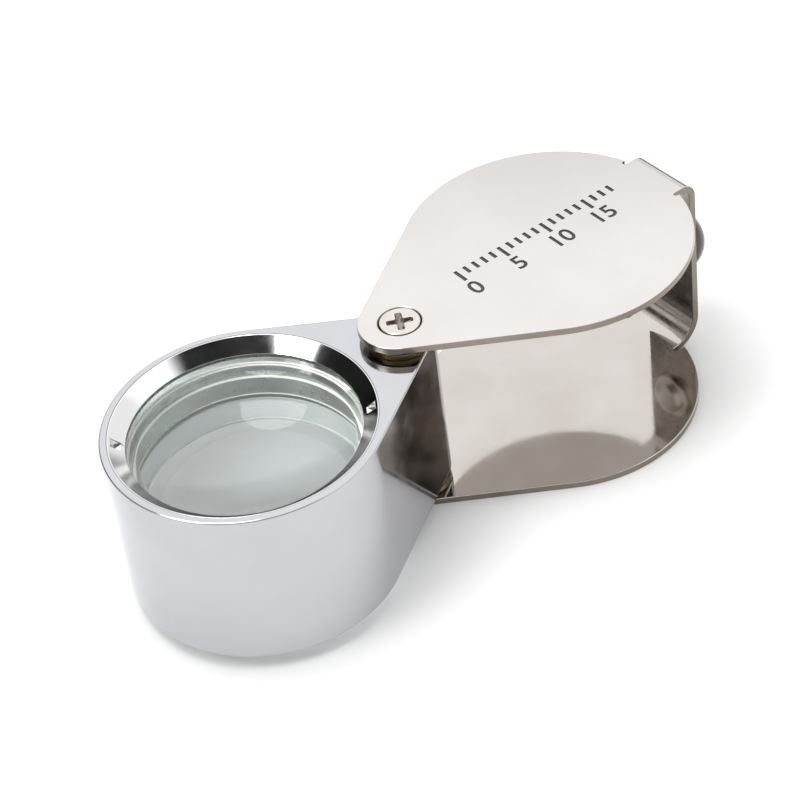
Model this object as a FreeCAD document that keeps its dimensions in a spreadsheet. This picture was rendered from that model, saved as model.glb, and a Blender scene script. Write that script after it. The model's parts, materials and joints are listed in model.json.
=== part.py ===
import FreeCAD, Part
import math
import os
import Sketcher

# Folding pocket loupe, millimetres.
# Each sub-part is drawn about the pivot axis or its own axis and then placed.
# World frame: z = 0 is the underside of the case, +X runs from pivot to strap.

os.makedirs("parts", exist_ok=True)
doc = FreeCAD.newDocument("loupe")
sheet = doc.addObject("Spreadsheet::Sheet", "Dims")
V = FreeCAD.Vector

# Measured and chosen sizes.
SIZES = {
    "pivot_at": -2.80,
    "reach": 17.0,
    "plate_big": 13.3,
    "plate_tip": 3.8,
    "sheet": 0.7,
    "case_height": 19.0,
    "strap_half": 3.3,
    "strap_outer": 32.1,
    "bend_top": 1.6,
    "bend_bottom": 3.2,
    "slit_wide": 0.45,
    "seat_top": 2.03,
    "seat_deep": 1.42,
    "body_big": 12.5,
    "body_tip": 3.0,
    "body_height": 16.1,
    "body_lift": 1.45,
    "body_round": 0.22,
    "barrel": 10.55,
    "thread": 11.8,
    "ring_depth": 2.2,
    "ring_outer": 11.77,
    "bevel_outer": 11.68,
    "bevel_inner": 10.32,
    "bevel_depth": 1.15,
    "land_depth": 1.5,
    "spanner_reach": 11.45,
    "spanner_wide": 1.0,
    "spanner_depth": 0.85,
    "lens_outer": 10.5,
    "lens_seat": 9.75,
    "lens_edge": 1.8,
    "lens_sag": 1.0,
    "middle_edge": 1.6,
    "middle_sag": 0.8,
    "spacer_inner": 9.85,
    "spacer_wide": 10.2,
    "spacer_step": 2.35,
    "spacer_height": 3.95,
    "post_outer": 1.5,
    "post_inner": 1.02,
    "post_hole": 1.55,
    "washer_inner": 1.56,
    "washer_outer": 2.9,
    "washer_thick": 0.7,
    "head_outer": 1.86,
    "head_edge": 0.08,
    "head_inner": 1.3,
    "head_depth": 0.64,
    "shank": 0.98,
    "shank_end": 5.6,
    "cross_long": 2.4,
    "cross_wide": 0.62,
    "cross_depth": 0.42,
    "stud_level": 10.3,
    "stud_hole": 1.05,
    "stud_shank": 1.0,
    "stud_head": 3.1,
    "stud_rim": 0.45,
    "stud_proud": 2.9,
    "stud_tail": 1.6,
    "burr_outer": 2.3,
    "burr_thick": 0.4,
}

# Sizes that follow from the ones above.
DERIVED = {
    "nil": "0",
    "plate_floor": "case_height - sheet",
    "strap_inner": "strap_outer - sheet",
    "strap_root": "reach + 9",
    "top_turn": "strap_outer - bend_top",
    "top_turn_low": "case_height - bend_top",
    "low_turn": "strap_outer - bend_bottom",
    "post_height": "case_height - 2 * sheet",
    "ring_floor": "body_height - ring_depth",
    "lens_apex": "lens_edge + lens_sag",
    "middle_top": "middle_sag + middle_edge",
    "middle_apex": "2 * middle_sag + middle_edge",
    "shank_chamfer": "shank - 0.25",
    "shank_tip": "shank_end + 0.25",
    "strap_wide": "2 * strap_half",
    "slit_outer": "strap_half + slit_wide",
    "slit_start": "low_turn - 0.3",
    "slit_top_start": "reach + 12.3",
    "slit_finish": "strap_outer + 2",
}

for row, (name, value) in enumerate(SIZES.items(), start=1):
    sheet.set("A%d" % row, name)
    sheet.set("B%d" % row, str(value))
    sheet.setAlias("B%d" % row, name)
for row, (name, formula) in enumerate(DERIVED.items(), start=1):
    sheet.set("D%d" % row, name)
    sheet.set("E%d" % row, "=" + formula)
    sheet.setAlias("E%d" % row, name)
doc.recompute()


def size(name):
    """Return one driving or derived dimension."""
    return float(sheet.get(name))


def bind(obj, prop, name):
    """Tie a property of a feature to a dimension."""
    obj.setExpression(prop, "Dims." + name)


def new_body(name):
    """Start a sub-part under its own name."""
    made = doc.addObject("PartDesign::Body", name)
    made.Label = name
    return made


def new_sketch(owner, name, role="XY_Plane", lift=None):
    """Attach a sketch to one of the body's own origin planes."""
    made = owner.newObject("Sketcher::SketchObject", name)
    plane = [f for f in owner.Origin.OriginFeatures if f.Role == role][0]
    made.AttachmentSupport = [(plane, "")]
    made.MapMode = "FlatFace"
    if lift:
        bind(made, "AttachmentOffset.Base.z", lift)
    return made


def hold(sketch, kind, places, name):
    """Add one dimension to a sketch and tie it to the sheet."""
    index = sketch.addConstraint(Sketcher.Constraint(kind, *places, size(name)))
    bind(sketch, "Constraints[%d]" % index, name)


def circle(sketch, radius, middle=None):
    """Draw a circle on the H axis, at the origin or at a given distance."""
    across = size(middle) if middle else 0.0
    index = sketch.addGeometry(Part.Circle(V(across, 0, 0), V(0, 0, 1), size(radius)))
    if middle:
        sketch.addConstraint(Sketcher.Constraint("PointOnObject", index, 3, -1))
        hold(sketch, "DistanceX", (-1, 1, index, 3), middle)
    else:
        sketch.addConstraint(Sketcher.Constraint("Coincident", index, 3, -1, 1))
    hold(sketch, "Radius", (index,), radius)


def teardrop(sketch, big, tip):
    """Draw the outline: a big arc, a tip arc on the pivot, two tangents."""
    reach = size("reach")
    wide = size(big)
    narrow = size(tip)
    lean = math.acos((narrow - wide) / reach)
    dx = math.cos(lean)
    dy = math.sin(lean)
    big_arc = Part.ArcOfCircle(Part.Circle(V(reach, 0, 0), V(0, 0, 1), wide), -lean, lean)
    tip_arc = Part.ArcOfCircle(Part.Circle(V(), V(0, 0, 1), narrow), lean, 2 * math.pi - lean)
    upper = Part.LineSegment(V(reach + wide * dx, wide * dy, 0), V(narrow * dx, narrow * dy, 0))
    lower = Part.LineSegment(V(narrow * dx, -narrow * dy, 0), V(reach + wide * dx, -wide * dy, 0))
    start = sketch.addGeometry([big_arc, upper, tip_arc, lower])[0]
    for step in range(4):
        following = start + (step + 1) % 4
        sketch.addConstraint(Sketcher.Constraint("Tangent", start + step, 2, following, 1))
    sketch.addConstraint(Sketcher.Constraint("Coincident", start + 2, 3, -1, 1))
    sketch.addConstraint(Sketcher.Constraint("PointOnObject", start, 3, -1))
    hold(sketch, "DistanceX", (-1, 1, start, 3), "reach")
    hold(sketch, "Radius", (start,), big)
    hold(sketch, "Radius", (start + 2,), tip)


def pin_point(sketch, index, x_name, y_name):
    """Fix the start of one edge by its two distances from the origin."""
    if x_name == "nil":
        sketch.addConstraint(Sketcher.Constraint("PointOnObject", index, 1, -2))
    else:
        hold(sketch, "DistanceX", (-1, 1, index, 1), x_name)
    if y_name == "nil":
        sketch.addConstraint(Sketcher.Constraint("PointOnObject", index, 1, -1))
    else:
        hold(sketch, "DistanceY", (-1, 1, index, 1), y_name)


def outline(sketch, points):
    """Draw a closed outline of straight edges through named distances."""
    spots = [V(size(a), size(b), 0) for a, b in points]
    count = len(spots)
    edges = [Part.LineSegment(spots[i], spots[(i + 1) % count]) for i in range(count)]
    start = sketch.addGeometry(edges)[0]
    for step in range(count):
        following = start + (step + 1) % count
        sketch.addConstraint(Sketcher.Constraint("Coincident", start + step, 2, following, 1))
    for step, (a, b) in enumerate(points):
        pin_point(sketch, start + step, a, b)


def dome(sketch, line, rim, apex, rising):
    """Replace the edge between a rim point and the axis by a centred arc."""
    rim_at = V(size(rim[0]), size(rim[1]), 0)
    apex_at = V(0, size(apex), 0)
    step = apex_at.y - rim_at.y
    middle = (rim_at.y + apex_at.y) / 2 - rim_at.x ** 2 / (2 * step)
    radius = abs(apex_at.y - middle)
    ring = Part.Circle(V(0, middle, 0), V(0, 0, 1), radius)
    rim_turn = math.atan2(rim_at.y - middle, rim_at.x)
    if rising:
        arc = Part.ArcOfCircle(ring, rim_turn, math.pi / 2)
        ends = (1, 2)
    else:
        arc = Part.ArcOfCircle(ring, -math.pi / 2, rim_turn)
        ends = (2, 1)
    index = sketch.addGeometry(arc)
    sketch.toggleConstruction(line)
    sketch.addConstraint(Sketcher.Constraint("Coincident", index, ends[0], line, 1 if rising else 2))
    sketch.addConstraint(Sketcher.Constraint("Coincident", index, ends[1], line, 2 if rising else 1))
    sketch.addConstraint(Sketcher.Constraint("PointOnObject", index, 3, -2))


def pad(owner, name, profile, length, both=False):
    """Raise a profile."""
    made = owner.newObject("PartDesign::Pad", name)
    made.Profile = profile
    bind(made, "Length", length)
    made.Midplane = both
    doc.recompute()
    return made


def cut(owner, name, profile, length=None):
    """Sink a profile upward from its plane, or through everything."""
    before = owner.Shape.Volume
    made = owner.newObject("PartDesign::Pocket", name)
    made.Profile = profile
    if length:
        bind(made, "Length", length)
        made.Reversed = True
    else:
        made.Type = 1
        made.Midplane = True
    doc.recompute()
    assert owner.Shape.Volume < before - 1e-3, name
    return made


def turn(owner, name, profile, kind="PartDesign::Revolution"):
    """Turn a profile, or a turned cut, about the vertical axis."""
    made = owner.newObject(kind, name)
    made.Profile = profile
    made.ReferenceAxis = (profile, ["V_Axis"])
    made.Angle = 360
    doc.recompute()
    return made


def bore(owner, name, radius, middle=None, lift=None, depth=None):
    """Sink a round hole on the H axis."""
    drawn = new_sketch(owner, name + "_outline", "XY_Plane", lift)
    circle(drawn, radius, middle)
    return cut(owner, name, drawn, depth)


def annulus(name, outer, inner, height):
    """Make a flat ring or a tube."""
    owner = new_body(name)
    drawn = new_sketch(owner, name + "_outline")
    circle(drawn, outer)
    circle(drawn, inner)
    pad(owner, name + "_solid", drawn, height)
    return owner


def turned(name, points, domes=()):
    """Make a turned sub-part from its half profile."""
    owner = new_body(name)
    drawn = new_sketch(owner, name + "_profile", "XZ_Plane")
    outline(drawn, points)
    for step, rim, apex, rising in domes:
        dome(drawn, step, rim, apex, rising)
    turn(owner, name + "_solid", drawn)
    return owner


# Case: a strap bent round at each end into a teardrop plate.
STRAP = [
    ("strap_root", "nil"),
    ("low_turn", "nil"),
    ("strap_outer", "bend_bottom"),
    ("strap_outer", "top_turn_low"),
    ("top_turn", "case_height"),
    ("strap_root", "case_height"),
    ("strap_root", "plate_floor"),
    ("top_turn", "plate_floor"),
    ("strap_inner", "top_turn_low"),
    ("strap_inner", "bend_bottom"),
    ("low_turn", "sheet"),
    ("strap_root", "sheet"),
]


def bend(sketch, line, middle, radius, inner):
    """Replace a slanted edge by a quarter bend about a named middle."""
    low = radius == "bend_bottom"
    first = -math.pi / 2 if low else 0.0
    curve = size(radius) - (size("sheet") if inner else 0.0)
    ring = Part.Circle(V(size(middle[0]), size(middle[1]), 0), V(0, 0, 1), curve)
    index = sketch.addGeometry(Part.ArcOfCircle(ring, first, first + math.pi / 2))
    sketch.toggleConstruction(line)
    near, far = (2, 1) if inner else (1, 2)
    sketch.addConstraint(Sketcher.Constraint("Coincident", index, near, line, 1))
    sketch.addConstraint(Sketcher.Constraint("Coincident", index, far, line, 2))
    hold(sketch, "DistanceX", (-1, 1, index, 3), middle[0])


def slit_box(sketch, start, low, high):
    """Draw one rectangle across the plate edge, from start outward."""
    x0 = size(start)
    x1 = size("slit_finish")
    corners = [V(x0, low, 0), V(x1, low, 0), V(x1, high, 0), V(x0, high, 0)]
    edges = [Part.LineSegment(corners[i], corners[(i + 1) % 4]) for i in range(4)]
    first = sketch.addGeometry(edges)[0]
    for step in range(4):
        following = first + (step + 1) % 4
        sketch.addConstraint(Sketcher.Constraint("Coincident", first + step, 2, following, 1))
        direction = "Horizontal" if step % 2 == 0 else "Vertical"
        sketch.addConstraint(Sketcher.Constraint(direction, first + step))
    hold(sketch, "DistanceX", (-1, 1, first, 1), start)
    hold(sketch, "DistanceX", (-1, 1, first + 2, 1), "slit_finish")
    return first


case = new_body("case_shell")
bottom_outline = new_sketch(case, "bottom_outline")
teardrop(bottom_outline, "plate_big", "plate_tip")
pad(case, "bottom_plate", bottom_outline, "sheet")

# The lower bend starts inside the plate's edge, so the edge is notched for it.
notch = new_sketch(case, "notch_outline")
edge = slit_box(notch, "slit_start", -size("slit_outer"), size("slit_outer"))
hold(notch, "DistanceY", (edge, 1, -1, 1), "slit_outer")
hold(notch, "DistanceY", (-1, 1, edge + 2, 1), "slit_outer")
cut(case, "notch_cut", notch, "sheet")

strap_outline = new_sketch(case, "strap_outline", "XZ_Plane")
outline(strap_outline, STRAP)
bend(strap_outline, 1, ("low_turn", "bend_bottom"), "bend_bottom", False)
bend(strap_outline, 3, ("top_turn", "top_turn_low"), "bend_top", False)
bend(strap_outline, 7, ("top_turn", "top_turn_low"), "bend_top", True)
bend(strap_outline, 9, ("low_turn", "bend_bottom"), "bend_bottom", True)
pad(case, "strap", strap_outline, "strap_wide", True)

top_outline = new_sketch(case, "top_outline", "XY_Plane", "plate_floor")
teardrop(top_outline, "plate_big", "plate_tip")
pad(case, "top_plate", top_outline, "sheet")

# Relief slits on both sides of the upper bend.
slits = new_sketch(case, "slit_outline", "XY_Plane", "plate_floor")
edge = slit_box(slits, "slit_top_start", size("strap_half"), size("slit_outer"))
hold(slits, "DistanceY", (-1, 1, edge, 1), "strap_half")
hold(slits, "DistanceY", (-1, 1, edge + 2, 1), "slit_outer")
edge = slit_box(slits, "slit_top_start", -size("slit_outer"), -size("strap_half"))
hold(slits, "DistanceY", (edge, 1, -1, 1), "slit_outer")
hold(slits, "DistanceY", (edge + 2, 1, -1, 1), "strap_half")
cut(case, "slit_cut", slits, "sheet")

# Countersunk seats for the pivot screws and the stud's hole.
for level, z0, z1 in (("bottom", "nil", "sheet"), ("top", "case_height", "plate_floor")):
    seat_outline = new_sketch(case, level + "_seat_outline", "XZ_Plane")
    outline(seat_outline, [("nil", z0), ("seat_top", z0), ("seat_deep", z1), ("nil", z1)])
    turn(case, level + "_seat", seat_outline, "PartDesign::Groove")
stud_outline = new_sketch(case, "stud_hole_outline", "YZ_Plane")
stud_round = Part.Circle(V(0, size("stud_level"), 0), V(0, 0, 1), size("stud_hole"))
stud_circle = stud_outline.addGeometry(stud_round)
stud_outline.addConstraint(Sketcher.Constraint("PointOnObject", stud_circle, 3, -2))
hold(stud_outline, "DistanceY", (-1, 1, stud_circle, 3), "stud_level")
hold(stud_outline, "Radius", (stud_circle,), "stud_hole")
cut(case, "stud_hole_cut", stud_outline)

# Lens housing: teardrop block, lens barrel, ring threads, pivot bore.
housing = new_body("lens_housing")
block_outline = new_sketch(housing, "block_outline")
teardrop(block_outline, "body_big", "body_tip")
block = pad(housing, "block", block_outline, "body_height")
rim_edges = []
for index, edge in enumerate(block.Shape.Edges, start=1):
    ends = [round(v.Z, 4) for v in edge.Vertexes]
    if min(ends) == max(ends):
        rim_edges.append("Edge%d" % index)
rounding = housing.newObject("PartDesign::Fillet", "rounding")
rounding.Base = (block, rim_edges)
bind(rounding, "Radius", "body_round")
doc.recompute()
bore(housing, "barrel_bore", "barrel", "reach")
bore(housing, "pivot_bore", "post_hole")
bore(housing, "lower_thread", "thread", "reach", None, "ring_depth")
bore(housing, "upper_thread", "thread", "reach", "ring_floor", "ring_depth")

# Retaining rings, outer face at z = 0, bevelled mouth, two spanner slots.
RING = [
    ("bevel_outer", "nil"),
    ("ring_outer", "nil"),
    ("ring_outer", "ring_depth"),
    ("barrel", "ring_depth"),
    ("barrel", "land_depth"),
    ("bevel_inner", "land_depth"),
    ("bevel_inner", "bevel_depth"),
]
rings = []
for name in ("ring_upper", "ring_lower"):
    ring = turned(name, RING)
    slot_outline = new_sketch(ring, name + "_slot_outline")
    long = size("spanner_reach")
    half = size("spanner_wide") / 2
    corners = [V(-long, -half, 0), V(long, -half, 0), V(long, half, 0), V(-long, half, 0)]
    edges = [Part.LineSegment(corners[i], corners[(i + 1) % 4]) for i in range(4)]
    slot_outline.addGeometry(edges)
    for step in range(4):
        following = (step + 1) % 4
        slot_outline.addConstraint(Sketcher.Constraint("Coincident", step, 2, following, 1))
        direction = "Horizontal" if step % 2 == 0 else "Vertical"
        slot_outline.addConstraint(Sketcher.Constraint(direction, step))
    slot_outline.addConstraint(Sketcher.Constraint("Symmetric", 0, 1, 2, 1, -1, 1))
    hold(slot_outline, "DistanceY", (1, 1, 1, 2), "spanner_wide")
    hold(slot_outline, "DistanceX", (-1, 1, 1, 1), "spanner_reach")
    cut(ring, name + "_slots", slot_outline, "spanner_depth")
    rings.append(ring)

# Outer lenses: flat face at z = 0, ground seat round the convex face.
PLANO = [
    ("nil", "nil"),
    ("lens_outer", "nil"),
    ("lens_outer", "lens_edge"),
    ("lens_seat", "lens_edge"),
    ("nil", "lens_apex"),
]
PLANO_DOMES = [(3, ("lens_seat", "lens_edge"), "lens_apex", True)]
lens_eye = turned("lens_eye", PLANO, PLANO_DOMES)
lens_field = turned("lens_field", PLANO, PLANO_DOMES)

# Middle lens: convex both sides, lower apex at z = 0.
BICONVEX = [
    ("nil", "nil"),
    ("lens_seat", "middle_sag"),
    ("lens_outer", "middle_sag"),
    ("lens_outer", "middle_top"),
    ("lens_seat", "middle_top"),
    ("nil", "middle_apex"),
]
BICONVEX_DOMES = [
    (4, ("lens_seat", "middle_top"), "middle_apex", True),
    (0, ("lens_seat", "middle_sag"), "nil", False),
]
lens_middle = turned("lens_middle", BICONVEX, BICONVEX_DOMES)

# Spacers: the upper one has a wider mouth with a ledge below it.
STEPPED = [
    ("spacer_inner", "nil"),
    ("lens_outer", "nil"),
    ("lens_outer", "spacer_height"),
    ("spacer_wide", "spacer_height"),
    ("spacer_wide", "spacer_step"),
    ("spacer_inner", "spacer_step"),
]
spacer_upper = turned("spacer_upper", STEPPED)
spacer_lower = annulus("spacer_lower", "lens_outer", "spacer_inner", "spacer_height")

# Pivot: a tapped post between the plates and one countersunk screw at each end.
post = annulus("pivot_post", "post_outer", "post_inner", "post_height")
washer_upper = annulus("washer_upper", "washer_outer", "washer_inner", "washer_thick")
washer_lower = annulus("washer_lower", "washer_outer", "washer_inner", "washer_thick")

SCREW = [
    ("nil", "nil"),
    ("head_outer", "nil"),
    ("head_outer", "head_edge"),
    ("head_inner", "head_depth"),
    ("shank", "head_depth"),
    ("shank", "shank_end"),
    ("shank_chamfer", "shank_tip"),
    ("nil", "shank_tip"),
]
screws = []
for name in ("pivot_screw_upper", "pivot_screw_lower"):
    screw = turned(name, SCREW)
    cross_outline = new_sketch(screw, name + "_cross_outline")
    a = size("cross_long") / 2
    b = size("cross_wide") / 2
    corners = [(a, -b), (a, b), (b, b), (b, a), (-b, a), (-b, b)]
    corners += [(-a, b), (-a, -b), (-b, -b), (-b, -a), (b, -a), (b, -b)]
    spots = [V(x, y, 0) for x, y in corners]
    edges = [Part.LineSegment(spots[i], spots[(i + 1) % 12]) for i in range(12)]
    cross_outline.addGeometry(edges)
    for step in range(12):
        following = (step + 1) % 12
        cross_outline.addConstraint(Sketcher.Constraint("Coincident", step, 2, following, 1))
        direction = "Vertical" if step % 2 == 0 else "Horizontal"
        cross_outline.addConstraint(Sketcher.Constraint(direction, step))
    for near, far in ((0, 6), (3, 9)):
        cross_outline.addConstraint(Sketcher.Constraint("Symmetric", near, 1, far, 1, -1, 1))
    for near, far in ((1, 5), (7, 11)):
        cross_outline.addConstraint(Sketcher.Constraint("Horizontal", near, 1, far, 1))
    for near, far in ((10, 2), (8, 4)):
        cross_outline.addConstraint(Sketcher.Constraint("Vertical", near, 1, far, 1))
    hold(cross_outline, "DistanceX", (7, 1, 0, 1), "cross_long")
    hold(cross_outline, "DistanceY", (9, 1, 3, 1), "cross_long")
    hold(cross_outline, "DistanceY", (0, 1, 0, 2), "cross_wide")
    hold(cross_outline, "DistanceX", (3, 2, 3, 1), "cross_wide")
    cut(screw, name + "_cross", cross_outline, "cross_depth")
    screws.append(screw)

# Stud: dome at the top, shank through the strap, riveted tail below.
STUD = [
    ("nil", "tail_end"),
    ("stud_tail_tip", "tail_end"),
    ("stud_tail", "tail_edge_low"),
    ("stud_tail", "tail_start_low"),
    ("stud_shank", "tail_start_low"),
    ("stud_shank", "stud_foot"),
    ("stud_head", "stud_foot"),
    ("stud_head", "stud_rim_top"),
    ("nil", "stud_top"),
]
STUD_LEVELS = {
    "tail_end": "0.4",
    "stud_tail_tip": "stud_tail - 0.4",
    "tail_edge_low": "0.62",
    "tail_start_low": "0.9",
    "stud_foot": "0.9 + burr_thick + sheet + 0.04",
    "stud_rim_top": "stud_foot + stud_rim",
    "stud_top": "stud_foot + stud_proud",
}
for row, (name, formula) in enumerate(STUD_LEVELS.items(), start=1):
    sheet.set("G%d" % row, name)
    sheet.set("H%d" % row, "=" + formula)
    sheet.setAlias("H%d" % row, name)
doc.recompute()
stud = turned("end_stud", STUD, [(7, ("stud_head", "stud_rim_top"), "stud_top", True)])
burr = annulus("stud_washer", "burr_outer", "stud_hole", "burr_thick")

# Where every sub-part sits.
UP = V(0, 0, 1)
FLIP = FreeCAD.Rotation(V(1, 0, 0), 180)
OPEN_ANGLE = 178.9
SLOT_ANGLE = 148.0
CROSS_ANGLE = -28.0
at_pivot = FreeCAD.Placement(V(size("pivot_at"), 0, 0), FreeCAD.Rotation())
swung = FreeCAD.Placement(V(size("pivot_at"), 0, 0), FreeCAD.Rotation(UP, OPEN_ANGLE))


def place(owner, base, where, rotation=FreeCAD.Rotation()):
    """Put a sub-part where it belongs within the case or the swung unit."""
    owner.Placement = base.multiply(FreeCAD.Placement(where, rotation))


floor = size("body_lift")
roof = floor + size("body_height")
reach = size("reach")
land = size("land_depth")
middle_low = (floor + roof) / 2 - size("middle_apex") / 2
seat_low = floor + land + size("lens_edge")
seat_high = (floor + roof) / 2 + size("middle_edge") / 2
ring_turn = FreeCAD.Rotation(UP, SLOT_ANGLE - OPEN_ANGLE)
cross_turn = FreeCAD.Rotation(UP, CROSS_ANGLE)
outward = FreeCAD.Rotation(V(0, 1, 0), 90)
inside = size("strap_inner")

place(case, at_pivot, V())
place(post, at_pivot, V(0, 0, size("sheet")))
place(washer_lower, at_pivot, V(0, 0, size("sheet")))
place(washer_upper, at_pivot, V(0, 0, size("plate_floor") - size("washer_thick")))
place(screws[0], at_pivot, V(0, 0, size("case_height")), cross_turn.multiply(FLIP))
place(screws[1], at_pivot, V(), cross_turn)
place(burr, at_pivot, V(inside - size("burr_thick") - 0.02, 0, size("stud_level")), outward)
stud_base = size("strap_outer") + 0.02 - size("stud_foot")
place(stud, at_pivot, V(stud_base, 0, size("stud_level")), outward)
place(housing, swung, V(0, 0, floor))
place(rings[0], swung, V(reach, 0, roof), ring_turn.multiply(FLIP))
place(rings[1], swung, V(reach, 0, floor), ring_turn)
place(lens_eye, swung, V(reach, 0, roof - land), FLIP)
place(lens_field, swung, V(reach, 0, floor + land))
place(lens_middle, swung, V(reach, 0, middle_low))
place(spacer_lower, swung, V(reach, 0, seat_low))
place(spacer_upper, swung, V(reach, 0, seat_high))
doc.recompute()

bodies = [o for o in doc.Objects if o.TypeId == "PartDesign::Body"]
for part in doc.Objects:
    bad = [state for state in part.State if state in ("Invalid", "Error")]
    assert not bad, (part.Label, part.State)
for made in bodies:
    shape = made.Shape
    assert not shape.isNull() and shape.isValid(), made.Label
    assert len(shape.Solids) == 1, (made.Label, len(shape.Solids))
    shape.exportStep("parts/%s.step" % made.Label)
    box = shape.BoundBox
    print("%-18s %8.2f mm3  x %.2f..%.2f  y %.2f..%.2f  z %.2f..%.2f" % (
        made.Label, shape.Volume, box.XMin, box.XMax, box.YMin, box.YMax, box.ZMin, box.ZMax))
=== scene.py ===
import json
import math

import bmesh
import bpy
from mathutils import Matrix, Vector


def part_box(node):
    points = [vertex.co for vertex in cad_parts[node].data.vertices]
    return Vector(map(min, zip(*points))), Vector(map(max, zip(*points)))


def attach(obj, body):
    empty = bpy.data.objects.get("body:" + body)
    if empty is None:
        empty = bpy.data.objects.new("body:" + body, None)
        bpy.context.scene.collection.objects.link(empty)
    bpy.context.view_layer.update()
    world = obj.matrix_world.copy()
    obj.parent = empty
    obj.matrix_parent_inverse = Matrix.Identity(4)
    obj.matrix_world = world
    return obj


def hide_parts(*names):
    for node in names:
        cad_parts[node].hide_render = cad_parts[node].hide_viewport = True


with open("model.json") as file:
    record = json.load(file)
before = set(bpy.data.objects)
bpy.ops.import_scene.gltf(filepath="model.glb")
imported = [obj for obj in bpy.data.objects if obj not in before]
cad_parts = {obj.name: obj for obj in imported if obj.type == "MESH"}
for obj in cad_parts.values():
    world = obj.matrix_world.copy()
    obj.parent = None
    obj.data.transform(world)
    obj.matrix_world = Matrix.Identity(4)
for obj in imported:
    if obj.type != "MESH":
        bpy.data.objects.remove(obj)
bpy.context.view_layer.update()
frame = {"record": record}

# ---------------------------------------------------------------- sizes, mm
MM = 0.001
# From the pivot to the middle of the big arc, on the case and on the housing.
REACH = 17.0
# Case: radii of the plates' arcs, sheet thickness, strap and its bends, relief slits, screw seats.
PLATE_BIG, PLATE_TIP = 13.3, 3.8
SHEET = 0.7
STRAP_HALF, STRAP_OUT = 3.3, 32.1
BEND_TOP, BEND_LOW = 1.6, 3.2
SLIT = 0.45
SLIT_TOP_START = 12.3
SLIT_LOW_BACK = 0.3
SEAT_TOP, SEAT_DEEP = 2.03, 1.42
# Housing: radii of its arcs, edge rounding, bore for the lenses and for the rings.
BODY_BIG, BODY_TIP, BODY_ROUND = 12.5, 3.0, 0.22
BARREL, THREAD, RING_DEPTH = 10.55, 11.8, 2.2
POST_BORE = 1.55
# Lens cell: rim radius, polished radius, depth of the outer lenses and height of each piece.
LENS_RIM, LENS_CLEAR = 10.5, 9.75
LENS_IN, OUTER_RIM, MIDDLE_THICK = 1.5, 1.8, 3.2
MIDDLE_RIM_LOW, MIDDLE_RIM_HIGH = 0.8, 2.4
SPACER_INNER, SPACER_HIGH = 9.85, 3.95
# Turned pieces on the pivot and on the strap.
POST_INNER, POST_OUTER = 1.02, 1.5
WASHER_INNER, WASHER_OUTER, WASHER_THICK = 1.56, 2.9, 0.7
# Turns about Z, degrees: the housing at rest, the screws' crosses, the rings' slots.
OPEN_ANGLE = 178.9
CROSS_TURN = -28.0
SLOT_TURN = 148.0

joint = frame["record"]["behaviour"]["joints"][0]
PIVOT = Vector((joint["pos_m"][0], joint["pos_m"][1], 0.0))
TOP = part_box("case_shell")[1].z / MM
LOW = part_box("lens_housing")[0].z / MM
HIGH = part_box("lens_housing")[1].z / MM
STUD_LOW, STUD_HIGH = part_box("end_stud")
STUD_LEVEL = (STUD_LOW.z + STUD_HIGH.z) / 2 / MM

ON_CASE = Matrix.Translation(PIVOT) @ Matrix.Scale(MM, 4)
OPENED = Matrix.Rotation(math.radians(OPEN_ANGLE), 4, "Z")
ON_LENS = Matrix.Translation(PIVOT) @ OPENED @ Matrix.Scale(MM, 4)


# ---------------------------------------------------------------- materials
def nodes_for(name):
    """A new material, its node tree, its shader and its coordinates."""
    mat = bpy.data.materials.new(name)
    mat.use_nodes = True
    tree = mat.node_tree
    shader = tree.nodes["Principled BSDF"]
    coords = tree.nodes.new("ShaderNodeTexCoord")
    return mat, tree, shader, coords


def noise(tree, coords, scale, detail=3.0, stretch=(1, 1, 1), rough=0.5, turn=0.0):
    """Noise in the piece's own space; scale is in cycles per metre."""
    shift = tree.nodes.new("ShaderNodeMapping")
    shift.inputs["Scale"].default_value = stretch
    shift.inputs["Rotation"].default_value = (0, 0, turn)
    made = tree.nodes.new("ShaderNodeTexNoise")
    made.inputs["Scale"].default_value = scale
    made.inputs["Detail"].default_value = detail
    made.inputs["Roughness"].default_value = rough
    tree.links.new(coords.outputs["Object"], shift.inputs["Vector"])
    tree.links.new(shift.outputs["Vector"], made.inputs["Vector"])
    return made.outputs["Fac"]


def spread(tree, value, low, high, start=0.3, end=0.7):
    """Map a 0..1 value onto a range."""
    made = tree.nodes.new("ShaderNodeMapRange")
    made.inputs["From Min"].default_value = start
    made.inputs["From Max"].default_value = end
    made.inputs["To Min"].default_value = low
    made.inputs["To Max"].default_value = high
    tree.links.new(value, made.inputs["Value"])
    return made.outputs["Result"]


def two_tone(tree, value, first, second):
    """Blend two colours by a 0..1 value."""
    made = tree.nodes.new("ShaderNodeMix")
    made.data_type = "RGBA"
    made.inputs["A"].default_value = (*first, 1)
    made.inputs["B"].default_value = (*second, 1)
    tree.links.new(value, made.inputs["Factor"])
    return made.outputs["Result"]


def bump(tree, value, strength, distance, under=None):
    """Bump from a height, on top of another bump where one is given."""
    made = tree.nodes.new("ShaderNodeBump")
    made.inputs["Strength"].default_value = strength
    made.inputs["Distance"].default_value = distance
    tree.links.new(value, made.inputs["Height"])
    if under is not None:
        tree.links.new(under, made.inputs["Normal"])
    return made.outputs["Normal"]


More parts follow.
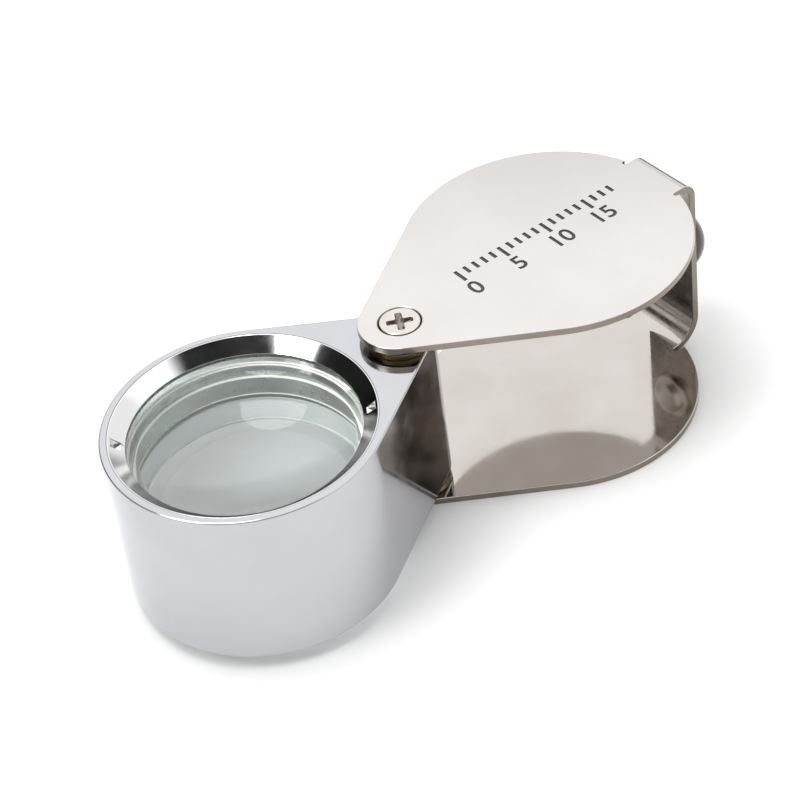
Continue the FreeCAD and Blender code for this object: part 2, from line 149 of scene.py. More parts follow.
def metal(name, first, second, rough, wave=0.0, grain=0.0, streak=(1, 1, 1), turn=0.0, metallic=1.0):
    """Plated or turned metal: tone drift, smudged roughness, sheet waviness, fine grain."""
    mat, tree, shader, coords = nodes_for(name)
    shader.inputs["Metallic"].default_value = metallic
    drift = noise(tree, coords, 120, 4)
    colour = two_tone(tree, spread(tree, drift, 0, 1), first, second)
    tree.links.new(colour, shader.inputs["Base Color"])
    smudge = noise(tree, coords, 380, 6, rough=0.62)
    tree.links.new(spread(tree, smudge, rough[0], rough[1], 0.35, 0.7), shader.inputs["Roughness"])
    normal = None
    if wave:
        normal = bump(tree, noise(tree, coords, 70, 1), wave, 0.001)
    if grain:
        fine = noise(tree, coords, 2600, 4, streak, turn=turn)
        normal = bump(tree, fine, grain, 0.00002, normal)
    if normal is not None:
        tree.links.new(normal, shader.inputs["Normal"])
    return mat


def glass(name, tint):
    """Polished glass that lets light through to what it covers."""
    mat, tree, shader, coords = nodes_for(name)
    shader.inputs["Base Color"].default_value = (*tint, 1)
    shader.inputs["Transmission Weight"].default_value = 1.0
    shader.inputs["IOR"].default_value = 1.52
    film = noise(tree, coords, 260, 4)
    tree.links.new(spread(tree, film, 0.0, 0.012), shader.inputs["Roughness"])
    clear = tree.nodes.new("ShaderNodeBsdfTransparent")
    clear.inputs["Color"].default_value = (0.93, 0.94, 0.945, 1)
    path = tree.nodes.new("ShaderNodeLightPath")
    mix = tree.nodes.new("ShaderNodeMixShader")
    tree.links.new(path.outputs["Is Shadow Ray"], mix.inputs["Fac"])
    tree.links.new(shader.outputs["BSDF"], mix.inputs[1])
    tree.links.new(clear.outputs["BSDF"], mix.inputs[2])
    tree.links.new(mix.outputs["Shader"], tree.nodes["Material Output"].inputs["Surface"])
    return mat


BRUSHED = (1, 0.04, 1)
NICKEL = metal(
    "case_nickel", (0.65, 0.63, 0.615), (0.61, 0.59, 0.575), (0.05, 0.10),
    wave=0.01, grain=0.05, streak=BRUSHED, turn=0.6,
)
# Inner faces of the plates: the case's nickel painted darker, a painted shade between the plates.
INSIDE_SHADE = metal(
    "case_inside_painted_shade", (0.535, 0.505, 0.48), (0.47, 0.44, 0.41), (0.04, 0.09),
    wave=0.015, grain=0.06, streak=BRUSHED, turn=0.6,
)
# Inner faces of the strap: rougher nickel, also painted darker as shade inside the fold.
BEND_SHADE = metal("case_bend_painted_shade", (0.50, 0.455, 0.415), (0.38, 0.34, 0.305), (0.20, 0.32), grain=0.12)
# Cut edges and screw seats: painted dark, a painted shade on the edges and round the screw heads.
EDGE_SHADE = metal("case_edge_painted_shade", (0.32, 0.28, 0.24), (0.19, 0.16, 0.135), (0.16, 0.30), grain=0.3)
# Stud's dome: nickel painted near black, a painted shade for the dark surroundings it reflects.
STUD_SHADE = metal(
    "stud_nickel", (0.11, 0.09, 0.075), (0.065, 0.055, 0.045), (0.12, 0.25), grain=0.15
)
CHROME = metal(
    "housing_chrome", (0.53, 0.535, 0.555), (0.485, 0.49, 0.51), (0.06, 0.14), grain=0.06
)
MIRROR = metal("ring_chrome", (0.80, 0.80, 0.80), (0.76, 0.76, 0.76), (0.09, 0.14))
STEEL = metal("screw_steel", (0.74, 0.71, 0.68), (0.60, 0.56, 0.52), (0.12, 0.25), grain=0.10)
# Stud's tail and backing washer: rough steel painted light, a painted highlight that shows in the lower
# plate.
RIVET_LIT = metal("rivet_steel_painted_light", (0.84, 0.80, 0.74), (0.70, 0.66, 0.60), (0.36, 0.48), grain=0.15)
# Cross recess of the screw heads: the steel painted darker, a painted shade in the recess.
RECESS_SHADE = metal(
    "recess_painted_shade", (0.40, 0.36, 0.33), (0.26, 0.23, 0.21), (0.25, 0.45), grain=0.2
)
# Pivot washers: brass painted dark, a painted shade in the gap under the plate's tip.
BRASS_SHADE = metal("washer_brass", (0.40, 0.31, 0.15), (0.20, 0.16, 0.09), (0.2, 0.4), grain=0.2)
SPACER = metal(
    "spacer_metal", (0.36, 0.40, 0.36), (0.25, 0.29, 0.26), (0.2, 0.35),
    grain=0.06, streak=(1, 1, 6),
)
PALE = metal(
    "spacer_pale", (0.80, 0.83, 0.82), (0.72, 0.76, 0.75), (0.45, 0.6), grain=0.1, metallic=0.2
)
GROUND = metal(
    "ground_rim", (0.88, 0.88, 0.82), (0.74, 0.76, 0.70), (0.5, 0.7), grain=0.2, metallic=0.0
)
GLASS = glass("lens_glass", (0.975, 0.99, 0.985))
INK = metal("scale_black", (0.02, 0.02, 0.02), (0.05, 0.045, 0.04), (0.4, 0.6), metallic=0.0)


# ---------------------------------------------------------------- mesh tools
def ring_points(radius, height, steps, centre=(0.0, 0.0)):
    """Points of a level circle."""
    return [
        (centre[0] + radius * math.cos(t), centre[1] + radius * math.sin(t), height)
        for t in (2 * math.pi * i / steps for i in range(steps))
    ]


def loop(bm, points):
    """New vertices at the points."""
    return [bm.verts.new(p) for p in points]


def skin(bm, one, two, closed=True):
    """Quads between two loops of the same length."""
    count = len(one)
    for i in range(count if closed else count - 1):
        j = (i + 1) % count
        bm.faces.new((one[i], one[j], two[j], two[i]))


def cap(bm, *loops):
    """Fill a flat face between its outer loop and its holes, with as few faces as it can."""
    edges = []
    for verts in loops:
        for i, vert in enumerate(verts):
            other = verts[(i + 1) % len(verts)]
            edges.append(bm.edges.get((vert, other)) or bm.edges.new((vert, other)))
    made = bmesh.ops.triangle_fill(bm, use_beauty=True, edges=edges, normal=(0, 0, 1))["geom"]
    border = set(edges)
    inner = [e for e in made if isinstance(e, bmesh.types.BMEdge) and e not in border]
    bmesh.ops.dissolve_limit(bm, angle_limit=0.01, use_dissolve_boundaries=False, verts=[], edges=inner)


def lathe(bm, profile, steps=192, centre=(0.0, 0.0), closed=False):
    """Turn (radius, height) points about a vertical axis."""
    loops = []
    for radius, height in profile:
        if radius < 1e-6:
            loops.append([bm.verts.new((centre[0], centre[1], height))])
        else:
            loops.append(loop(bm, ring_points(radius, height, steps, centre)))
    pairs = list(zip(loops, loops[1:]))
    if closed:
        pairs.append((loops[-1], loops[0]))
    for one, two in pairs:
        if len(one) == 1 or len(two) == 1:
            tip, rim = (one[0], two) if len(one) == 1 else (two[0], one)
            for i in range(steps):
                bm.faces.new((rim[i], rim[(i + 1) % steps], tip))
        else:
            skin(bm, one, two)
    return loops


def dome(rim, rim_height, apex, steps):
    """Points of a spherical cap from its rim to its apex."""
    sag = apex - rim_height
    radius = (rim * rim + sag * sag) / (2 * abs(sag))
    way = 1 if sag > 0 else -1
    middle = apex - way * radius
    start = math.asin(rim / radius)
    points = []
    for i in range(steps + 1):
        t = start * (1 - i / steps)
        points.append((radius * math.sin(t), middle + way * radius * math.cos(t)))
    return points


def teardrop(big, tip, inset, height, big_steps=200, tip_steps=56):
    """Outline of a big arc and a tip arc on the pivot, joined by tangents."""
    lean = math.acos((tip - big) / REACH)
    points = []
    for i in range(big_steps + 1):
        t = -lean + 2 * lean * i / big_steps
        points.append((REACH + (big - inset) * math.cos(t), (big - inset) * math.sin(t), height))
    for i in range(tip_steps + 1):
        t = lean + (2 * math.pi - 2 * lean) * i / tip_steps
        points.append(((tip - inset) * math.cos(t), (tip - inset) * math.sin(t), height))
    return points


def settle(obj):
    """Apply the modifiers."""
    graph = bpy.context.evaluated_depsgraph_get()
    mesh = bpy.data.meshes.new_from_object(obj.evaluated_get(graph))
    obj.modifiers.clear()
    obj.data = mesh


def raw(name, bm, place, mats):
    """A linked object from a mesh drawn in millimetres."""
    bmesh.ops.remove_doubles(bm, verts=bm.verts, dist=1e-4)
    bmesh.ops.recalc_face_normals(bm, faces=bm.faces)
    bm.transform(place)
    mesh = bpy.data.meshes.new(name)
    bm.to_mesh(mesh)
    bm.free()
    obj = bpy.data.objects.new(name, mesh)
    bpy.context.scene.collection.objects.link(obj)
    for mat in mats:
        mesh.materials.append(mat)
    return obj


def round_edges(obj, width, angle=32, segments=3):
    """Round the edges sharper than an angle; width in millimetres."""
    made = obj.modifiers.new("edges", "BEVEL")
    made.width = width * MM
    made.segments = segments
    made.limit_method = "ANGLE"
    made.angle_limit = math.radians(angle)
    made.harden_normals = False
    settle(obj)


def carve(obj, cutter):
    """Cut one object out of another and drop the cutter."""
    made = obj.modifiers.new("cut", "BOOLEAN")
    made.operation = "DIFFERENCE"
    made.solver = "EXACT"
    made.object = cutter
    settle(obj)
    bpy.data.objects.remove(cutter, do_unlink=True)


def shade(mesh, angle):
    """Smooth normals that leave flat ends truly flat and carry them over the edge rounding."""
    mesh.validate()
    for face in mesh.polygons:
        face.use_smooth = True
    limit = math.cos(math.radians(angle))
    around = [[] for _ in mesh.vertices]
    faces = [(f.normal.copy(), f.area, abs(f.normal.z) > 0.99999) for f in mesh.polygons]
    for f in mesh.polygons:
        for v in f.vertices:
            around[v].append(f.index)
    normals = []
    for f in mesh.polygons:
        own, _, level = faces[f.index]
        for v in f.vertices:
            if level:
                normals.append(own)
                continue
            near = [faces[i] for i in around[v] if faces[i][0].dot(own) > limit]
            flats = [n for n, _, flat in near if flat]
            if flats:
                normals.append(flats[0])
            else:
                normals.append(sum((n * a for n, a, _ in near), Vector()).normalized())
    mesh.normals_split_custom_set(normals)


def finish_piece(obj, body, node, angle=35):
    """Shade the piece, hang it on its body and hide the CAD part it stands for."""
    shade(obj.data, angle)
    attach(obj, body)
    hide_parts(node)
    return obj


def repaint(obj, mat, chosen):
    """Give a second material to the faces that pass a test."""
    obj.data.materials.append(mat)
    index = len(obj.data.materials) - 1
    for face in obj.data.polygons:
        if chosen(face):
            face.material_index = index


def from_axis(face, place):
    """How far a face's middle lies from the vertical axis through a place."""
    off = face.center - place.translation
    return math.hypot(off.x, off.y)


def box_cutter(bm, x0, x1, y0, y1, z0, z1):
    """A closed box."""
    low = loop(bm, [(x0, y0, z0), (x1, y0, z0), (x1, y1, z0), (x0, y1, z0)])
    high = loop(bm, [(x0, y0, z1), (x1, y0, z1), (x1, y1, z1), (x0, y1, z1)])
    skin(bm, low, high)
    bm.faces.new(low)
    bm.faces.new(high)


# ---------------------------------------------------------------- case
CASE_MATERIALS = [NICKEL, INK, INSIDE_SHADE, EDGE_SHADE, BEND_SHADE]
NICKEL_SLOT, INK_SLOT, INSIDE_SHADE_SLOT, EDGE_SHADE_SLOT, BEND_SHADE_SLOT = range(5)


def plate_outline(slit_in, tab_end, height):
    """Teardrop with relief slits and a tab at its big end, from tab corner to tab corner."""
    slit_out = STRAP_HALF + SLIT
    theta = math.asin(slit_out / PLATE_BIG)
    lean = math.acos((PLATE_TIP - PLATE_BIG) / REACH)
    mid, half = STRAP_HALF + SLIT / 2, SLIT / 2
    points = [(tab_end, STRAP_HALF)]
    for i in range(7):
        t = math.radians(270 - 180 * i / 6)
        points.append((slit_in + half + half * math.cos(t), mid + half * math.sin(t)))
    for i in range(91):
        t = theta + (lean - theta) * i / 90
        points.append((REACH + PLATE_BIG * math.cos(t), PLATE_BIG * math.sin(t)))
    for i in range(29):
        t = lean + (math.pi - lean) * i / 28
        points.append((PLATE_TIP * math.cos(t), PLATE_TIP * math.sin(t)))
    mirrored = [(x, -y) for x, y in reversed(points[:-1])]
    return [(x, y, height) for x, y in points + mirrored]


def bend_path(outward):
    """The strap's profile from the top tab down to the bottom tab."""
    thick = 0.0 if outward else SHEET
    top, low = BEND_TOP - thick, BEND_LOW - thick
    turn_top, turn_low = STRAP_OUT - BEND_TOP, STRAP_OUT - BEND_LOW
    points = []
    for i in range(13):
        t = math.radians(90 - 90 * i / 12)
        points.append((turn_top + top * math.cos(t), TOP - BEND_TOP + top * math.sin(t)))
    straight = BEND_LOW - (TOP - BEND_TOP)
    for i in range(1, 8):
        points.append((STRAP_OUT - thick, TOP - BEND_TOP + straight * i / 8))
    for i in range(17):
        t = math.radians(-90 * i / 16)
        points.append((turn_low + low * math.cos(t), BEND_LOW + low * math.sin(t)))
    return points


def make_case():
    """The folded sheet: two plates with a screw seat each, and the strap between them."""
    bm = bmesh.new()
    for outer, inner, slit_in, tab_end in (
        (TOP, TOP - SHEET, REACH + SLIT_TOP_START, STRAP_OUT - BEND_TOP),
        (0.0, SHEET, STRAP_OUT - BEND_LOW - SLIT_LOW_BACK, STRAP_OUT - BEND_LOW),
    ):
        face_out = loop(bm, plate_outline(slit_in, tab_end, outer))
        face_in = loop(bm, plate_outline(slit_in, tab_end, inner))
        skin(bm, face_out, face_in, closed=False)
        seat_out = loop(bm, ring_points(SEAT_TOP, outer, 96))
        seat_in = loop(bm, ring_points(SEAT_DEEP, inner, 96))
        skin(bm, seat_out, seat_in)
        cap(bm, face_out, seat_out)
        cap(bm, face_in, seat_in)
    rows = [
        loop(bm, [(x, side * STRAP_HALF, z) for x, z in bend_path(outward)])
        for outward, side in ((True, 1), (True, -1), (False, -1), (False, 1))
    ]
    for i in range(4):
        skin(bm, rows[i], rows[(i + 1) % 4], closed=False)
    obj = raw("case_sheet", bm, ON_CASE, CASE_MATERIALS)
    round_edges(obj, 0.18)
    engrave(obj)
    sort_faces(obj)
    return finish_piece(obj, "case", "case_shell")


def sort_faces(case):
    """Polished outside; painted shade inside, in the strap (also rougher), on cut edges and screw seats."""
    for face in case.data.polygons:
        if face.material_index == INK_SLOT:
            continue
        at = (face.center - PIVOT) / MM
        up, out = face.normal.z, face.normal.x
        level = abs(up) > 0.9
        on_plates = at.z < SHEET or at.z > TOP - SHEET
        # Screw seats: painted shade of the gap round each head.
        if math.hypot(at.x, at.y) < SEAT_TOP and on_plates and not level:
            face.material_index = EDGE_SHADE_SLOT
        # Inner faces of the plates: painted shade between them.
        elif level and SHEET / 2 < at.z < TOP - SHEET / 2:
            face.material_index = INSIDE_SHADE_SLOT
        # Strap's inward faces: rougher, and painted shade inside the fold.
        elif at.x > STRAP_OUT - BEND_LOW - 0.2 and abs(at.y) < STRAP_HALF - 0.1:
            low_bend = up > 0.3 and at.z < BEND_LOW
            high_bend = up < -0.3 and at.z > BEND_LOW
            faces_in = out < -0.3 or low_bend or high_bend
            face.material_index = BEND_SHADE_SLOT if faces_in else NICKEL_SLOT
        # Cut edges: painted shade.
        elif abs(up) < 0.6:
            face.material_index = EDGE_SHADE_SLOT


# Engraved millimetre scale on the upper plate: first mark, marks, their width, depth and ends.
SCALE_START, SCALE_MARKS, SCALE_STEP = 7.8, 19, 5
MARK_HALF, MARK_DEEP = 0.18, 0.07
MARK_HIGH, MARK_SHORT, MARK_LONG = 2.0, 0.95, 0.3
NUMERAL_SIZE, NUMERAL_BASE = 2.6, -1.95
NUMERAL_HALF, NUMERAL_BOLD = 0.185, 0.04
SCALE_SIDE = 2.2


def numeral_mesh(number):
    """A numeral as a closed mesh around height 0."""
    curve = bpy.data.curves.new("numeral", "FONT")
    curve.body = str(number)
    curve.size = NUMERAL_SIZE
    curve.align_x = "CENTER"
    curve.extrude = NUMERAL_HALF
    curve.resolution_u = 4
    curve.offset = NUMERAL_BOLD
    text = bpy.data.objects.new("numeral", curve)
    bpy.context.scene.collection.objects.link(text)
    graph = bpy.context.evaluated_depsgraph_get()
    mesh = bpy.data.meshes.new_from_object(text.evaluated_get(graph))
    bpy.data.objects.remove(text, do_unlink=True)
    return mesh


def engrave(case):
    """Sink the scale's marks and numerals into the upper plate and fill them with black."""
    bm = bmesh.new()
    deep, over = TOP - MARK_DEEP, TOP + 0.3
    for i in range(SCALE_MARKS):
        x = SCALE_START + i
        foot = MARK_LONG if i % SCALE_STEP == 0 else MARK_SHORT
        box_cutter(bm, x - MARK_HALF, x + MARK_HALF, foot, MARK_HIGH, deep, over)
    carve(case, raw("scale_cutter", bm, ON_CASE, [INK]))
    for i in range(0, SCALE_MARKS, SCALE_STEP):
        drawn = bmesh.new()
        drawn.from_mesh(numeral_mesh(i))
        at = (SCALE_START + i, NUMERAL_BASE, deep + NUMERAL_HALF)
        bmesh.ops.translate(drawn, verts=drawn.verts, vec=at)
        carve(case, raw("numeral_cutter", drawn, ON_CASE, [INK]))
    for face in case.data.polygons:
        at = (face.center - PIVOT) / MM
        along = SCALE_START - 1.5 < at.x < SCALE_START + SCALE_MARKS + 0.5
        sunk = TOP - 0.2 < at.z < TOP - 0.001
        if along and sunk and abs(at.y) < SCALE_SIDE:
            face.material_index = INK_SLOT


make_case()


# ---------------------------------------------------------------- pivot screws
SCREW_HEAD, SCREW_UNDER, SCREW_RIM, SCREW_LIP = 1.86, 1.3, 0.08, 0.06
SCREW_SHANK = [(0.98, -0.64), (0.98, -5.6), (0.73, -5.85), (0.0, -5.85)]
CROSS_REACH, CROSS_HALF, CROSS_CORNER = 1.2, 0.31, 0.14
# Recess: how much the cross shrinks along x and y, and the depth, at its wall's foot and its floor.
CROSS_WALL, CROSS_FLOOR = (0.86, 0.86, -0.34), (0.42, 0.7, -0.5)


def cross_outline():
    """Outline of the cross recess."""
    a, b, c = CROSS_REACH, CROSS_HALF, CROSS_CORNER
    quarter = [(a - 0.1, -b), (a, -b + 0.1), (a, b - 0.1), (a - 0.1, b), (b + c, b), (b, b + c)]
    outline = []
    for k in range(4):
        cos, sin = math.cos(math.radians(90 * k)), math.sin(math.radians(90 * k))
        outline += [(x * cos - y * sin, x * sin + y * cos) for x, y in quarter]
    return outline


def make_screw(name, node, place):
    """Flush countersunk head with a cross recess; outer face at height 0, shank below."""
    bm = bmesh.new()
    loops = lathe(bm, [(SCREW_HEAD, -SCREW_RIM), (SCREW_UNDER, -0.64)] + SCREW_SHANK, 96)
    lip = loop(bm, ring_points(SCREW_HEAD - SCREW_LIP, 0.0, 96))
    skin(bm, loops[0], lip)
    mouth = loop(bm, [(x, y, 0.0) for x, y in cross_outline()])
    wall, foot = (
        loop(bm, [(x * along, y * across, depth) for x, y in cross_outline()])
        for along, across, depth in (CROSS_WALL, CROSS_FLOOR)
    )
    cap(bm, lip, mouth)
    skin(bm, mouth, wall)
    skin(bm, wall, foot)
    cap(bm, foot)
    obj = raw(name, bm, place, [STEEL, RECESS_SHADE])
    down = (place.to_3x3() @ Vector((0, 0, -1))).normalized()
    # Faces inside the cross recess get the painted shade.
    for face in obj.data.polygons:
        off = face.center - place.translation
        depth = off.dot(down) / MM
        if 0.02 < depth < 0.55 and (off - down * off.dot(down)).length / MM < 1.22:
            face.material_index = 1
    round_edges(obj, 0.03, 40, 2)
    return finish_piece(obj, "case", node)


CROSS = Matrix.Rotation(math.radians(CROSS_TURN), 4, "Z")
FLIP = Matrix.Rotation(math.pi, 4, "X")
make_screw("screw_top", "pivot_screw_upper", ON_CASE @ Matrix.Translation((0, 0, TOP)) @ CROSS)
make_screw("screw_bottom", "pivot_screw_lower", ON_CASE @ CROSS @ FLIP)


# ---------------------------------------------------------------- small turned pieces
def make_turned(name, node, body, place, profile, mat, edge=0.04, steps=160, closed=True):
    """A turned piece with rounded edges, its axis along the place's Z."""
    bm = bmesh.new()
    lathe(bm, profile, steps, closed=closed)
    obj = raw(name, bm, place, [mat])
    if edge:
        round_edges(obj, edge, 40, 2)
    return finish_piece(obj, body, node)


def tube(inner, outer, low, high):
    """Profile of a plain ring."""
    return [(inner, low), (outer, low), (outer, high), (inner, high)]


POST = tube(POST_INNER, POST_OUTER, SHEET, TOP - SHEET)
make_turned("post", "pivot_post", "case", ON_CASE, POST, STEEL)
for name, node, low in (
    ("washer_low", "washer_lower", SHEET),
    ("washer_high", "washer_upper", TOP - SHEET - WASHER_THICK),
):
    profile = tube(WASHER_INNER, WASHER_OUTER, low, low + WASHER_THICK)
    # The washers take the darkened brass, a painted shade in the gap.
    make_turned(name, node, "case", ON_CASE, profile, BRASS_SHADE, 0.12)

# Stud through the strap: riveted tail and shank from the inside out, then the dome.
SIDEWAYS = Matrix.Rotation(math.radians(90), 4, "Y")
AT_STUD = ON_CASE @ Matrix.Translation((STRAP_OUT, 0, STUD_LEVEL)) @ SIDEWAYS
TAIL = [(0.0, -1.98), (1.2, -1.98), (1.6, -1.76), (1.6, -1.12), (1.0, -1.12)]
NECK = [(1.0, 0.02), (2.9, 0.02), (3.1, 0.2)]
STUD = TAIL + NECK + dome(3.1, 0.47, 2.92, 28)
BACKING = tube(1.05, 2.3, -1.12, -0.72)
# The dome is painted near black, a painted shade for the dark it reflects.
stud = make_turned(
    "stud_dome", "end_stud", "case", AT_STUD, STUD, STUD_SHADE, 0, 128, closed=False
)
# The tail inside the strap is painted light, a painted highlight for its reflection in the lower plate.
repaint(stud, RIVET_LIT, lambda face: face.center.x < PIVOT.x + (STRAP_OUT - SHEET) * MM)
make_turned("stud_backing", "stud_washer", "case", AT_STUD, BACKING, RIVET_LIT, 0.08)


# ---------------------------------------------------------------- lens housing
def make_housing():
    """Teardrop body with rounded rims, the stepped bore for the lens cell and the post's bore."""
    bm = bmesh.new()
    layers = []
    for i in range(7):
        t = math.radians(90 * i / 6)
        layers.append((BODY_ROUND * (1 - math.sin(t)), LOW + BODY_ROUND * (1 - math.cos(t))))
    layers += [(inset, LOW + HIGH - height) for inset, height in reversed(layers)]
    sides = [loop(bm, teardrop(BODY_BIG, BODY_TIP, inset, height)) for inset, height in layers]
    for one, two in zip(sides, sides[1:]):
        skin(bm, one, two)
    floor_low, floor_high = LOW + RING_DEPTH, HIGH - RING_DEPTH
    wall = [(THREAD, LOW), (THREAD, floor_low), (BARREL, floor_low)]
    wall += [(BARREL, floor_high), (THREAD, floor_high), (THREAD, HIGH)]
    bore = lathe(bm, wall, 256, (REACH, 0.0))
    shaft = lathe(bm, [(POST_BORE, LOW), (POST_BORE, HIGH)], 64)
    cap(bm, sides[0], bore[0], shaft[0])
    cap(bm, sides[-1], bore[-1], shaft[-1])
    obj = raw("housing", bm, ON_LENS, [CHROME])
    return finish_piece(obj, "lens_unit", "lens_housing", 30)


make_housing()


# Retaining ring: land and outer wall, shoulder over the lens, lip; the bevel joins lip and land.
RING = [(11.68, 0.0), (11.77, 0.0), (11.77, -RING_DEPTH), (10.55, -RING_DEPTH)]
RING += [(10.55, -LENS_IN), (10.32, -LENS_IN), (10.32, -1.15)]
RING_LIP = 10.36
SLOT_REACH, SLOT_HALF, SLOT_DEEP = 11.45, 0.5, 0.85


def make_ring(name, node, place, lip):
    """Bevelled retaining ring, outer face at height 0 and depth downward, with two spanner slots."""
    bm = bmesh.new()
    lathe(bm, RING, 256, closed=True)
    obj = raw(name, bm, place, [MIRROR])
    slots = bmesh.new()
    box_cutter(slots, -SLOT_REACH, SLOT_REACH, -SLOT_HALF, SLOT_HALF, -SLOT_DEEP, 1.0)
    carve(obj, raw("slot_cutter", slots, place, [MIRROR]))
    round_edges(obj, 0.05, 30, 2)
    repaint(obj, lip, lambda face: from_axis(face, place) < RING_LIP * MM)
    return finish_piece(obj, "lens_unit", node, 28)


AT_LENS = ON_LENS @ Matrix.Translation((REACH, 0, 0))


def raised(height):
    """Placing matrix on the lens axis at a height."""
    return AT_LENS @ Matrix.Translation((0, 0, height))


SLOTS = Matrix.Rotation(math.radians(SLOT_TURN - OPEN_ANGLE), 4, "Z")
make_ring("ring_top", "ring_upper", raised(HIGH) @ SLOTS, SPACER)
make_ring("ring_bottom", "ring_lower", raised(LOW) @ SLOTS @ FLIP, PALE)

# Lens stack: flat-faced lenses outside, one biconvex lens between two spacers.
PLANO = [(0.0, 0.0), (10.38, 0.0), (LENS_RIM, 0.12), (LENS_RIM, OUTER_RIM), (LENS_CLEAR, OUTER_RIM)]
PLANO += dome(LENS_CLEAR, OUTER_RIM, 2.8, 40)[1:]
BICONVEX = dome(LENS_CLEAR, MIDDLE_RIM_LOW, 0.0, 40)[::-1]
BICONVEX += [(LENS_RIM, MIDDLE_RIM_LOW), (LENS_RIM, MIDDLE_RIM_HIGH)]
BICONVEX += dome(LENS_CLEAR, MIDDLE_RIM_HIGH, MIDDLE_THICK, 40)
STEPPED = [(SPACER_INNER, 0.0), (LENS_RIM, 0.0), (LENS_RIM, SPACER_HIGH)]
STEPPED += [(10.2, SPACER_HIGH), (10.2, 2.35), (SPACER_INNER, 2.35)]
PLAIN = tube(SPACER_INNER, LENS_RIM, 0.0, SPACER_HIGH)
MIDDLE = (LOW + HIGH) / 2


def make_lens(name, node, place, profile, ground):
    """A polished lens, its seat ground matt where asked."""
    bm = bmesh.new()
    lathe(bm, profile, 192)
    obj = raw(name, bm, place, [GLASS])
    if ground:
        repaint(
            obj, GROUND,
            lambda face: abs(face.normal.z) > 0.9 and 9.7 < from_axis(face, place) / MM < LENS_RIM,
        )
    return finish_piece(obj, "lens_unit", node, 30)


def make_spacer(name, node, place, profile, mat, edge):
    """A ring between two lenses."""
    return make_turned(name, node, "lens_unit", place, profile, mat, edge)


make_lens("lens_top", "lens_eye", raised(HIGH - LENS_IN) @ FLIP, PLANO, False)
make_lens("lens_bottom", "lens_field", raised(LOW + LENS_IN), PLANO, True)
make_lens("lens_centre", "lens_middle", raised(MIDDLE - MIDDLE_THICK / 2), BICONVEX, True)
make_spacer("spacer_low", "spacer_lower", raised(LOW + LENS_IN + OUTER_RIM), PLAIN, PALE, 0.1)
upper = make_spacer(
    "spacer_high", "spacer_upper", raised(MIDDLE + MIDDLE_THICK / 2 - MIDDLE_RIM_LOW), STEPPED, SPACER, 0.07
)
repaint(upper, GROUND, lambda face: abs(face.normal.z) > 0.5)


# ---------------------------------------------------------------- studio
def make_floor(side):
    """A matt white floor."""
    mesh = bpy.data.meshes.new("floor")
    corners = [(-side, -side, 0), (side, -side, 0), (side, side, 0), (-side, side, 0)]
    mesh.from_pydata(corners, [], [(0, 1, 2, 3)])
    obj = bpy.data.objects.new("floor", mesh)
    bpy.context.scene.collection.objects.link(obj)
    mat, _, shader, _ = nodes_for("floor_white")
    shader.inputs["Base Color"].default_value = (0.9, 0.9, 0.9, 1)
    shader.inputs["Roughness"].default_value = 0.9
    shader.inputs["Specular IOR Level"].default_value = 0.1
    mesh.materials.append(mat)


make_floor(2.0)

# A soft white surround, a little dimmer low down, with three dark parts. GLOW is its strength,
# DARK is what is left of it in the dark parts, and all angles are in degrees.
GLOW, DARK = 1.4, 0.009
# Panels, one high at the front and one low all round the back: azimuth of the middle, half width,
# lowest and highest elevation.
PANELS = [(-115.0, 56.0, 44.0, 68.0), (100.0, 72.0, 0.0, 10.0)]
# A slanting band: the normal of its plane, half width, and how far it reaches from a direction.
BAND_NORMAL, BAND_HALF = (-0.733, -0.064, -0.678), 10.5
BAND_FROM, BAND_TO = (0.0, 1.0, 0.0), 73.0
# The dimmer part: its strength, and the elevations between which it grows to full.
DIM, DIM_LOW, DIM_HIGH = 0.74, 33.5, 38.5
# Half width of a soft edge, along elevation and at a panel's ends.
SOFT, SOFT_ENDS = 5.0, 10.0


def ramp(tree, value, low, high):
    """0 below low and 1 above high, smoothly."""
    made = tree.nodes.new("ShaderNodeMapRange")
    made.interpolation_type = "SMOOTHSTEP"
    made.inputs["From Min"].default_value = low
    made.inputs["From Max"].default_value = high
    tree.links.new(value, made.inputs["Value"])
    return made.outputs["Result"]


def product(tree, one, two):
    """Two values multiplied."""
    made = tree.nodes.new("ShaderNodeMath")
    made.operation = "MULTIPLY"
    tree.links.new(one, made.inputs[0])
    tree.links.new(two, made.inputs[1])
    return made.outputs["Value"]


def facing(tree, ray, way):
    """How far a direction points a given way."""
    made = tree.nodes.new("ShaderNodeVectorMath")
    made.operation = "DOT_PRODUCT"
    made.inputs[1].default_value = way
    tree.links.new(ray, made.inputs[0])
    return made.outputs["Value"]


def unless(tree, dark):
    """Full light where dark is 0, next to none where it is 1."""
    made = tree.nodes.new("ShaderNodeMapRange")
    made.inputs["To Min"].default_value = 1.0
    made.inputs["To Max"].default_value = DARK
    tree.links.new(dark, made.inputs["Value"])
    return made.outputs["Result"]


def sine(*angles):
    """Sines of angles in degrees."""
    return [math.sin(math.radians(angle)) for angle in angles]


def cosine(*angles):
    """Cosines of angles in degrees."""
    return [math.cos(math.radians(angle)) for angle in angles]


def level_way(tree, way):
    """A direction laid flat and brought back to length 1."""
    flat = tree.nodes.new("ShaderNodeVectorMath")
    flat.operation = "MULTIPLY"
    flat.inputs[1].default_value = (1, 1, 0)
    tree.links.new(way, flat.inputs[0])
    unit = tree.nodes.new("ShaderNodeVectorMath")
    unit.operation = "NORMALIZE"
    tree.links.new(flat.outputs["Vector"], unit.inputs[0])
    return unit.outputs["Vector"]


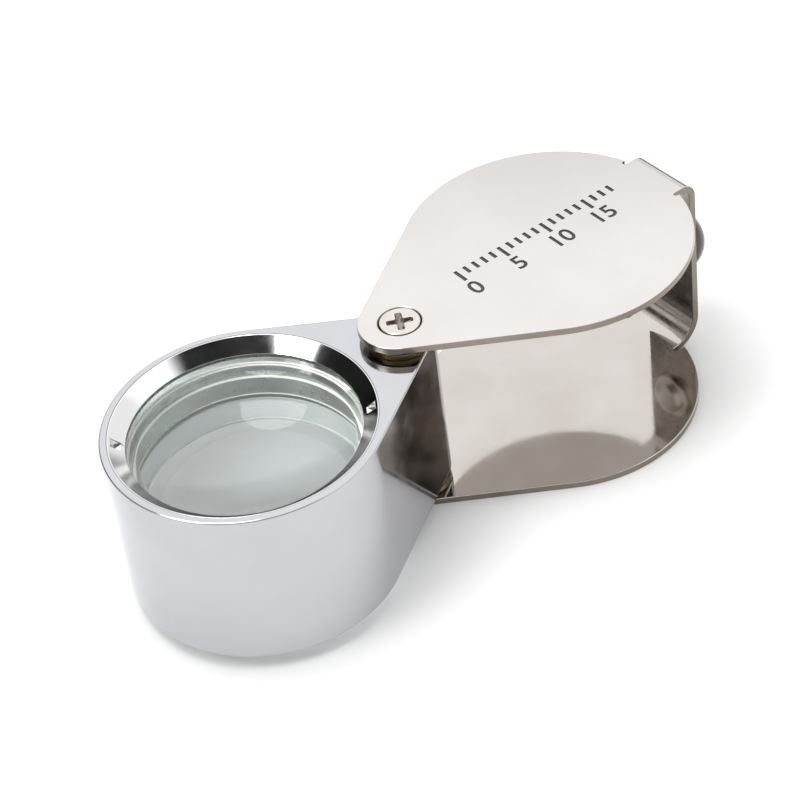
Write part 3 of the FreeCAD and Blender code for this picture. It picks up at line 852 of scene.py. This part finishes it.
def panel_shade(tree, level, height, azimuth, half, low, high):
    """1 inside a panel and 0 outside it."""
    cos, sin = cosine(azimuth)[0], sine(azimuth)[0]
    ends = cosine(half + SOFT_ENDS, half - SOFT_ENDS)
    across = ramp(tree, facing(tree, level, (cos, sin, 0)), *ends)
    over = ramp(tree, height, *sine(high + SOFT, high - SOFT))
    under = ramp(tree, height, *sine(low - SOFT, low + SOFT))
    return product(tree, product(tree, across, over), under)


def band_shade(tree, way):
    """1 inside the slanting band and 0 outside it."""
    away = tree.nodes.new("ShaderNodeMath")
    away.operation = "ABSOLUTE"
    tree.links.new(facing(tree, way, BAND_NORMAL), away.inputs[0])
    wide = sine(BAND_HALF + SOFT / 2, BAND_HALF - SOFT / 2)
    reach = cosine(BAND_TO + SOFT / 2, BAND_TO - SOFT / 2)
    near = ramp(tree, away.outputs["Value"], *wide)
    side = ramp(tree, facing(tree, way, BAND_FROM), *reach)
    return product(tree, near, side)


def make_world():
    world = bpy.data.worlds.new("studio")
    bpy.context.scene.world = world
    world.use_nodes = True
    tree = world.node_tree
    back = tree.nodes["Background"]
    back.inputs["Color"].default_value = (1, 1, 1, 1)
    way = tree.nodes.new("ShaderNodeTexCoord").outputs["Generated"]
    split = tree.nodes.new("ShaderNodeSeparateXYZ")
    tree.links.new(way, split.inputs["Vector"])
    height = split.outputs["Z"]
    level = level_way(tree, way)
    dim = tree.nodes.new("ShaderNodeMapRange")
    dim.inputs["To Min"].default_value = DIM
    tree.links.new(ramp(tree, height, *sine(DIM_LOW, DIM_HIGH)), dim.inputs["Value"])
    bright = dim.outputs["Result"]
    for panel in PANELS:
        bright = product(tree, bright, unless(tree, panel_shade(tree, level, height, *panel)))
    bright = product(tree, bright, unless(tree, band_shade(tree, way)))
    strength = tree.nodes.new("ShaderNodeMath")
    strength.operation = "MULTIPLY"
    strength.inputs[1].default_value = GLOW
    tree.links.new(bright, strength.inputs[0])
    tree.links.new(strength.outputs["Value"], back.inputs["Strength"])


make_world()


def make_light(name, place, size, power):
    """A round soft light aimed at the origin."""
    lamp = bpy.data.lights.new(name, "AREA")
    lamp.shape = "DISK"
    lamp.size = size
    lamp.energy = power
    obj = bpy.data.objects.new(name, lamp)
    obj.location = place
    obj.rotation_mode = "QUATERNION"
    obj.rotation_quaternion = (-Vector(place)).to_track_quat("-Z", "Y")
    bpy.context.scene.collection.objects.link(obj)


make_light("key", (-0.365, 0.064, 0.46), 0.24, 0.7)
make_light("overhead", (-0.15, 0.12, 0.72), 0.35, 1.5)

# Display white as white.
bpy.context.scene.view_settings.view_transform = "Standard"


# ---------------------------------------------------------------- camera
camera = bpy.data.cameras.new("camera")
camera.lens = 106.04
camera.sensor_width = 36.0
camera.shift_x = 0.0071
camera.shift_y = 0.0187
camera.clip_start = 0.01
camera.clip_end = 10.0
eye = bpy.data.objects.new("camera", camera)
EYE_AT = (-0.08981, -0.13566, 0.14938)
RIGHT = Vector((0.78916, -0.60492, -0.10630))
UP = Vector((0.46631, 0.47748, 0.74470))
turned = Matrix((RIGHT, UP, RIGHT.cross(UP))).transposed().to_4x4()
eye.matrix_world = Matrix.Translation(EYE_AT) @ turned
bpy.context.scene.collection.objects.link(eye)
bpy.context.scene.camera = eye
